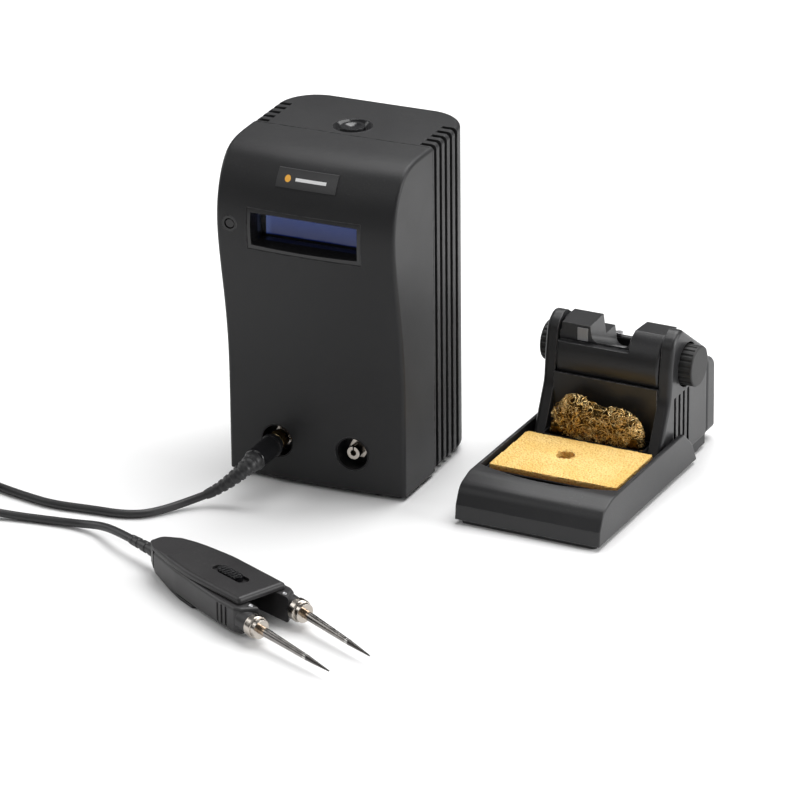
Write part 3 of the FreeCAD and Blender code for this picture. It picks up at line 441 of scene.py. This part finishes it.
wearing = {
    "blackShell": ["front_cover", "rear_housing"],
    "blackGloss": ["lcd_bezel", "power_bezel", "power_button", "select_ring", "select_button",
                   "plug_body", "slide_switch"],
    "darkCup": ["power_switch", "display_board", "outlet_cups", "mains_inlet", "sponge_pan", "wool_holder"],
    "badgeFilm": ["label_plate"], "litPanel": ["lcd_module"], "clearWindow": ["lcd_window"],
    "nickelPlate": ["outlet_jacks", "outlet_nuts", "nozzle_left", "nozzle_right"],
    "turnedBrass": ["inlet_pins", "ground_jack", "plug_collar"],
    "zincSheet": ["base_plate", "rear_panel"],
    "plainSteel": ["housing_screws", "stand_screws", "arm_pins", "arm_spring"],
    "finAluminium": ["heat_sink"], "coreLaminations": ["transformer_core"],
    "windingTape": ["transformer_winding"], "boardGreen": ["main_board"],
    "footRubber": ["rubber_feet"], "castBase": ["stand_base"],
    "standShell": ["stand_tray", "tower_side_left", "tower_side_right", "tower_front_wall",
                   "tower_rear_wall", "rear_block", "cradle"],
    "cradlePad": ["cradle_pad"], "knobRubber": ["knob_left", "knob_right"],
    "handleBlack": ["handle_cover", "handle_base"], "armGrey": ["arm_left", "arm_right"],
    "cartridgeSteel": ["cartridge_left", "cartridge_right"],
    "leadJacket": ["plug_relief", "tool_relief", "lead_near", "lead_far", "lead_coil"],
}


def dress(obj, name):  # give a piece one finish
    if not obj.data.materials:
        obj.data.materials.append(finish[name])
    for place in obj.material_slots:
        place.material = finish[name]


for name, members in wearing.items():
    for member in members:
        dress(nodes[member], name)
print("the case parts are dressed")


def skinned(name, rings):  # a closed mesh through rings of points, with flat ends
    mesh = bmesh.new()
    loops = [[mesh.verts.new(point) for point in ring] for ring in rings]
    for ring, following in zip(loops, loops[1:]):
        for i in range(len(ring)):
            j = (i + 1) % len(ring)
            mesh.faces.new((ring[i], ring[j], following[j], following[i]))
    mesh.faces.new(list(reversed(loops[0])))
    mesh.faces.new(loops[-1])
    bmesh.ops.recalc_face_normals(mesh, faces=mesh.faces)
    data = bpy.data.meshes.new(name)
    mesh.to_mesh(data)
    mesh.free()
    for face in data.polygons:
        face.use_smooth = len(face.vertices) == 4
    made = bpy.data.objects.new(name, data)
    scene.collection.objects.link(made)
    return made


# lead
lead = {  # mm; a negative Y is in front of the power unit
    "radius": 2.75, "coilCentre": (-236.0, -157.0), "coilRadius": 30.4, "turns": 4.5,
    "perTurn": 16,
    "near": [(-54.4, -104.6, 8), (-63.6, -111.6, 4.6), (-73.8, -125.5, 2.9),
             (-83.5, -137.5, 2.75), (-97.5, -143.3, 2.75), (-118, -144.3, 2.75),
             (-146, -147.4, 2.75), (-168, -143.2, 2.75), (-191, -137.2, 2.75),
             (-214, -129, 2.75)],
    "far": [(-216, -187.2, 25.4), (-199, -183.4, 14), (-182, -177.8, 5), (-160, -173.3, 2.75),
            (-136, -170.4, 2.75), (-115, -168.6, 3.2), (-96, -173.4, 7.4)],
    "toolEnd": [(-40, 0, 12), (-25, 0, 12)],
}


def leadRoute():
    points = [spot("unit", *p) for p in lead["near"]]
    total = int(lead["turns"] * lead["perTurn"])
    for k in range(total + 1):
        angle = math.radians(90) + 2 * math.pi * k / lead["perTurn"]
        rise = lead["radius"] * (1 + 2 * lead["turns"] * k / total)
        points.append(spot("unit", lead["coilCentre"][0] + lead["coilRadius"] * math.cos(angle),
                           lead["coilCentre"][1] + lead["coilRadius"] * math.sin(angle), rise))
    points += [spot("unit", *p) for p in lead["far"]]
    points += [spot("tool", *p) for p in lead["toolEnd"]]
    return points


def makeLead():
    route = leadRoute()
    curve = bpy.data.curves.new("lead", "CURVE")
    curve.dimensions = "3D"
    spline = curve.splines.new("NURBS")
    spline.points.add(len(route) - 1)
    for point, place in zip(spline.points, route):
        point.co = (*place, 1)
    spline.order_u = 3
    spline.use_endpoint_u = True
    spline.resolution_u = 6
    curve.bevel_depth = lead["radius"] * mm
    curve.bevel_resolution = 6
    curve.use_fill_caps = True
    made = bpy.data.objects.new("lead", curve)
    scene.collection.objects.link(made)
    curve.materials.append(finish["leadJacket"])
    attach(made, "power_unit")
    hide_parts("lead_near", "lead_far", "lead_coil")
    return made


leadPiece = makeLead()

sleeve = {"steps": 96, "around": 28, "ribbed": (0.08, 0.86), "groove": 0.86, "tail": 0.95,
          "rounding": 5.0}
relief = {
    "plug": {"knots": [spot("unit", -27.6, -85, 29.5), spot("unit", -27.6, -101, 29.5),
                       spot("unit", -43.1, -96.0, 12.7), spot("unit", -54.4, -104.6, 8)],
             "radii": (6.5, 3.3), "ribs": 9, "body": "power_unit", "node": "plug_relief"},
    "tool": {"knots": [spot("tool", 1, 0, 12), spot("tool", -8, 0, 12), spot("tool", -16, 0, 12),
                       spot("tool", -25, 0, 12)],
             "radii": (4.15, 3.25), "ribs": 3, "body": "handpiece", "node": "tool_relief"},
}


def makeRelief(name, look):  # a tapered sleeve cut by grooves, with a rounded tail
    (first, last), steps, around = look["radii"], sleeve["steps"], sleeve["around"]
    line = interpolate_bezier(*look["knots"], steps)
    rings, side = [], None
    for k, here in enumerate(line):
        share = k / (steps - 1)
        way = (line[min(k + 1, steps - 1)] - line[max(k - 1, 0)]).normalized()
        side = way.cross(Vector((0, 0, 1))).normalized() if side is None \
            else (side - way * side.dot(way)).normalized()
        up = side.cross(way)
        radius = first + (last - first) * share
        wave = math.sin(share * math.pi * 2 * look["ribs"])
        if sleeve["ribbed"][0] < share < sleeve["ribbed"][1] and wave < -0.15:
            radius *= sleeve["groove"]
        if share > sleeve["tail"]:
            radius -= (share - sleeve["tail"]) * sleeve["rounding"]
        rings.append([here + (side * math.cos(a) + up * math.sin(a)) * radius * mm
                      for a in (2 * math.pi * i / around for i in range(around))])
    made = skinned(name, rings)
    made.data.materials.append(finish["leadJacket"])
    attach(made, look["body"])
    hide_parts(look["node"])


for name, look in relief.items():
    makeRelief(name + "_relief_ribbed", look)
print("the lead is laid and its reliefs are cut")


# clamp screws of the cartridges
screwLook = {"radius": 1.55, "high": 0.75, "sunk": 0.4, "recess": 0.35, "around": 32,
             "place": (118.2, 13.6, 20.3)}


def makeClampScrews():
    u, v, top = screwLook["place"]
    around, radius, high = screwLook["around"], screwLook["radius"] * mm, screwLook["high"] * mm
    profile = ((radius, -screwLook["sunk"] * mm), (radius, high * 0.6), (radius * 0.9, high * 0.9),
               (radius * 0.6, high), (radius * 0.55, high - screwLook["recess"] * mm))
    for side, body in ((-1, "arm_left"), (1, "arm_right")):
        made = skinned("clamp_screw_" + body,
                       [[(reach * math.cos(a), reach * math.sin(a), rise)
                         for a in (2 * math.pi * i / around for i in range(around))]
                        for reach, rise in profile])
        made.location = spot("tool", u, side * v, top)
        dress(made, "plainSteel")
        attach(made, body)


makeClampScrews()
print("the clamp screws are in")


# sponge
spongeLook = {  # mm; the dip is round the hole
    "voxel": 0.75, "pore": 0.55, "swell": 0.35, "pressed": 0.25, "dip": ((-7, 75), 10.0),
    "dipDepth": (2.2, 1.6), "foot": 1.5, "front": 39.2,
}


def spongeMaterial():
    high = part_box("sponge")[1]
    material, tree, shader, here = newMaterial("celluloseSponge", Roughness=0.9,
                                               Subsurface_Weight=0.12, Subsurface_Scale=0.004)
    shader.inputs["Subsurface Radius"].default_value = (1.0, 0.6, 0.25)
    cells = put(tree, "TexVoronoi", {"Scale": 620.0, "Randomness": 1.0}, {"Vector": here})
    large = put(tree, "TexVoronoi", {"Scale": 210.0}, {"Vector": here})
    fibre = put(tree, "TexNoise", {"Scale": 900.0, "Detail": 5.0, "Roughness": 0.7},
                {"Vector": here})
    cloud = put(tree, "TexNoise", {"Scale": 45.0, "Detail": 4.0}, {"Vector": here})
    turn = math.radians(-layout["stand"][2])
    straight = put(tree, "Mapping", {"Rotation": (0, 0, turn)}, {"Vector": here})
    part = put(tree, "SeparateXYZ", {}, {0: straight.outputs[0]})
    edge = spot("stand", 0, spongeLook["front"], 0)
    front = edge.x * math.sin(turn) + edge.y * math.cos(turn)
    colour = blendColour(tree, spread(tree, cloud.outputs["Fac"], 0.35, 0.65),
                         (0.8, 0.5, 0.14), (0.88, 0.61, 0.22))
    # the pores, which the bump below sinks, are painted a darker brown: painted shade in the pits
    colour = blendColour(tree, spread(tree, cells.outputs["Distance"], 0.45, 0.12), colour,
                         (0.64, 0.34, 0.07))
    colour = blendColour(tree, spread(tree, large.outputs["Distance"], 0.22, 0.08, 0, 0.55), colour,
                         (0.6, 0.33, 0.07))
    # the front face turns a darker brown, more so lower down
    frontDarkening = maths(tree, "MULTIPLY",
                 spread(tree, part.outputs["Y"], front + 5 * mm, front + 1 * mm),
                 spread(tree, part.outputs["Z"], high.z - 0.6 * mm, high.z - 4.5 * mm))
    colour = blendColour(tree, frontDarkening, colour, (0.5, 0.17, 0.02))
    tree.links.new(colour, shader.inputs["Base Color"])
    height = maths(tree, "ADD", cells.outputs["Distance"],
                   maths(tree, "MULTIPLY", fibre.outputs["Fac"], 0.6))
    bumped(tree, shader, height, 0.0007)
    return material


finish["celluloseSponge"] = spongeMaterial()


def baked(obj, name):  # the mesh that an object's modifiers give, as its own
    graph = bpy.context.evaluated_depsgraph_get()
    mesh = bpy.data.meshes.new_from_object(obj.evaluated_get(graph))
    mesh.name = name
    return mesh


def remeshed(node, name, voxel):  # a voxel copy of a CAD node
    copy = bpy.data.objects.new(name, nodes[node].data.copy())
    scene.collection.objects.link(copy)
    change = copy.modifiers.new("voxels", "REMESH")
    change.mode, change.voxel_size, change.use_smooth_shade = "VOXEL", voxel * mm, True
    mesh = baked(copy, name)
    copy.modifiers.clear()
    copy.data = mesh
    copy.data.materials.clear()
    return copy


def makeSponge():
    made = remeshed("sponge", "sponge_cellulose", spongeLook["voxel"])
    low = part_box("sponge")[0]
    hole, scoop = spot("stand", *spongeLook["dip"][0], 0), spongeLook["dip"][1]
    resting = [(vertex, vertex.co.copy(), vertex.normal.copy()) for vertex in made.data.vertices]
    for vertex, p, normal in resting:
        pits = noise.noise(p * 520) * 0.5 + noise.noise(p * 1100) * 0.3
        wide = noise.noise(p * 70) * 0.35
        cut = max(0.0, pits) * spongeLook["pore"] + wide * spongeLook["swell"]
        move = -normal * (spongeLook["pressed"] + cut) * mm
        if p.z < low.z + spongeLook["foot"] * mm:
            move *= 0.2
        vertex.co = p + move
        away = (Vector((p.x, p.y, 0)) - Vector((hole.x, hole.y, 0))).length / mm
        if normal.z > 0.3 and away < scoop:
            deep, uneven = spongeLook["dipDepth"]
            vertex.co.z -= (scoop - away) / scoop * (deep + uneven * noise.noise(p * 300)) * mm
    made.data.update()
    dress(made, "celluloseSponge")
    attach(made, "sponge")
    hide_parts("sponge")


makeSponge()
print("the sponge is cut")


# brass wool
wool = {  # mm; the room is its Y range and its lowest Z in the holder
    "strands": 900, "points": 38, "step": 0.36, "curl": (1.0, 3.0), "width": 0.16, "thick": 0.05,
    "lumps": [((-14, 111.1, 36), (20.6, 7.4, 20.4)), ((15, 111.1, 34), (19.6, 7.4, 18.0)),
              ((0, 111.1, 26), (36.5, 7.0, 13.5))],
    "bright": ((0.72, 0.42, 0.11), (1.0, 0.8, 0.42)),
    "shadow": ((0.05, 0.03, 0.01), (0.12, 0.07, 0.02)),
    "room": (103.9, 118.3, 12.5), "coreVoxel": 1.2, "coreShare": (0.9, 0.8, 0.9), "seed": 7,
}


# with dark set, this makes a shaded copy of the brass, used as painted shade inside the wool
def woolMaterial(name, dark):
    material, tree, shader, here = newMaterial(name, Metallic=1.0)
    tint = put(tree, "TexNoise", {"Scale": 330.0, "Detail": 3.0}, {"Vector": here})
    fine = put(tree, "TexNoise", {"Scale": 2400.0, "Detail": 2.0}, {"Vector": here})
    shade = spread(tree, tint.outputs["Fac"], 0.3, 0.7)
    pair = wool["shadow"] if dark else wool["bright"]
    tree.links.new(blendColour(tree, shade, *pair), shader.inputs["Base Color"])
    tree.links.new(spread(tree, fine.outputs["Fac"], 0.3, 0.7, 0.16, 0.36),
                   shader.inputs["Roughness"])
    bumped(tree, shader, fine.outputs["Fac"], 0.00003)
    return material


finish["brassShavings"] = woolMaterial("brassShavings", False)
finish["brassShadow"] = woolMaterial("brassShadow", True)


def insideWool(p):  # how deep a local point lies in the nearest lump: under 1 is inside
    return min(sum(((p[i] - centre[i]) / radii[i]) ** 2 for i in range(3))
               for centre, radii in wool["lumps"])


def makeWool():
    draw = random.Random(wool["seed"])
    front, back, lowest = wool["room"]
    curve = bpy.data.curves.new("brass_shavings", "CURVE")
    curve.dimensions = "3D"
    curve.extrude, curve.bevel_depth = wool["width"] * mm, wool["thick"] * mm
    curve.bevel_resolution, curve.resolution_u = 0, 1
    for _ in range(wool["strands"]):
        centre, radii = draw.choice(wool["lumps"])
        way = Vector([draw.gauss(0, 1) for _ in range(3)]).normalized()
        reach = draw.uniform(0.62, 0.97)
        hub = Vector([centre[i] + way[i] * radii[i] * reach for i in range(3)])
        axis = Vector([draw.gauss(0, 1) for _ in range(3)]).normalized()
        side = axis.orthogonal().normalized()
        radius, angle = draw.uniform(*wool["curl"]), draw.uniform(0, 6.28)
        sweep, lean = draw.uniform(0.28, 0.5), draw.uniform(0.1, wool["step"])
        spline = curve.splines.new("POLY")
        spline.points.add(wool["points"] - 1)
        for k in range(wool["points"]):
            angle += sweep
            hub += axis * lean
            axis = (axis + Vector([draw.gauss(0, 0.07) for _ in range(3)])).normalized()
            side = (side - axis * side.dot(axis)).normalized()
            across = axis.cross(side)
            p = hub + (side * math.cos(angle) + across * math.sin(angle)) * radius
            for _ in range(6):
                depth = insideWool(p)
                if depth <= 1:
                    break
                nearest = min(wool["lumps"], key=lambda l: (Vector(l[0]) - p).length)
                p = Vector(nearest[0]) + (p - Vector(nearest[0])) * 0.93
            p.y = min(max(p.y, front), back)
            p.z = max(p.z, lowest)
            spline.points[k].co = (*spot("stand", *p), 1)
    rough = bpy.data.objects.new("brass_shavings", curve)
    scene.collection.objects.link(rough)
    mesh = baked(rough, "brass_shavings")
    bpy.data.objects.remove(rough)
    made = bpy.data.objects.new("brass_shavings", mesh)
    scene.collection.objects.link(made)
    dress(made, "brassShavings")
    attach(made, "brass_wool")
    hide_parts("brass_wool")
    # a shrunken dark lump under the shavings: painted shade in the gaps between the strands
    core = remeshed("brass_wool", "brass_wool_shade_core", wool["coreVoxel"])
    low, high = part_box("brass_wool")
    middle = (low + high) / 2
    facing = [vertex.normal.copy() for vertex in core.data.vertices]
    for vertex, normal in zip(core.data.vertices, facing):
        shrunk = Vector([(vertex.co[i] - middle[i]) * wool["coreShare"][i] for i in range(3)])
        vertex.co = middle + shrunk
        vertex.co += normal * noise.noise(vertex.co * 420) * 1.0 * mm
    core.data.update()
    dress(core, "brassShadow")
    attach(core, "brass_wool")


makeWool()
print("the brass wool is curled")


# floor
def makeFloor():
    mesh = bpy.data.meshes.new("floor")
    far, below = 9, 0.0003
    mesh.from_pydata([(-far, -far, 0), (far, -far, 0), (far, far, 0), (-far, far, 0)], [],
                     [(0, 1, 2, 3)])
    floor = bpy.data.objects.new("floor", mesh)
    scene.collection.objects.link(floor)
    floor.location.z = -below
    material, tree, shader, here = newMaterial("paleFloor", Roughness=0.75)
    shader.inputs["Specular IOR Level"].default_value = 0.2
    tone = put(tree, "TexNoise", {"Scale": 1.5}, {"Vector": here})
    tree.links.new(blendColour(tree, tone.outputs["Fac"], (0.88, 0.88, 0.88), (0.9, 0.9, 0.9)),
                   shader.inputs["Base Color"])
    mesh.materials.append(material)


makeFloor()
bpy.context.view_layer.update()
print("all pieces are in place")
